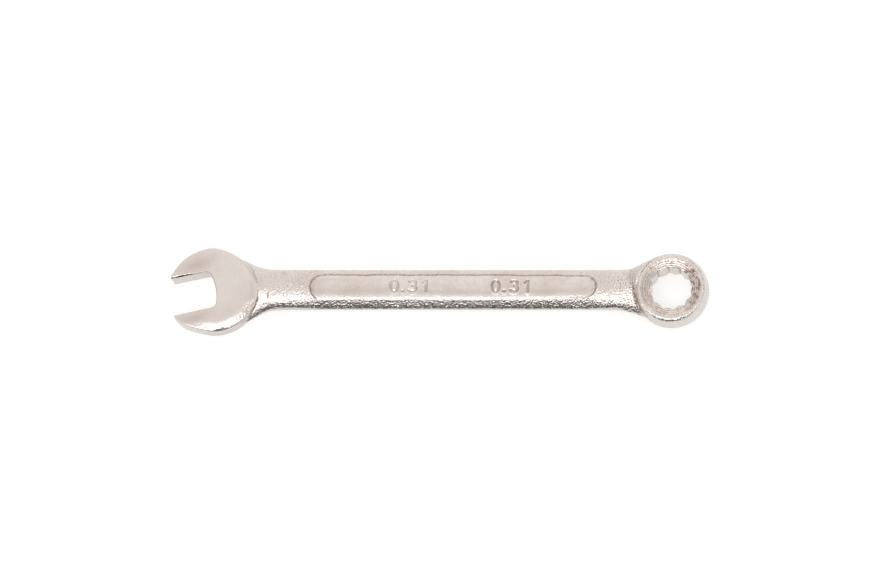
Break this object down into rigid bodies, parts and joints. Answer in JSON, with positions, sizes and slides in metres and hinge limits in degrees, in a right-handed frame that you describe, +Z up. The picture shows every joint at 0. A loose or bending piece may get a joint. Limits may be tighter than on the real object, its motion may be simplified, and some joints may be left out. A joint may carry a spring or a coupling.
{
  "type": "combination wrench",
  "caption": "Small combination wrench: an open end with a slanted throat, an oval shank with a long sunk panel on both faces, and a box end that fits the same nut.",
  "frame": {"origin": "under the middle of the whole wrench's box, on the plane that the ring's rim lies on", "axes": "+X along the shank towards the box end, +Y across it, +Z up through the flat faces"},
  "size_m": [0.1146, 0.0186, 0.0058],
  "materials": {
    "satin_plate": "forged steel, ground flat and plated, warm satin sheen, softened bright edges",
    "grained_plate": "plated forging skin with a fine sandy grain, smoother in the sunk panel",
    "turned_plate": "plated steel, turned cones with fine concentric tool lines, smooth convex walls"
  },
  "bodies": {
    "root": {"open_end_head": "satin_plate", "shank": "grained_plate", "box_end_head": "turned_plate"}
  },
  "joints": []
}
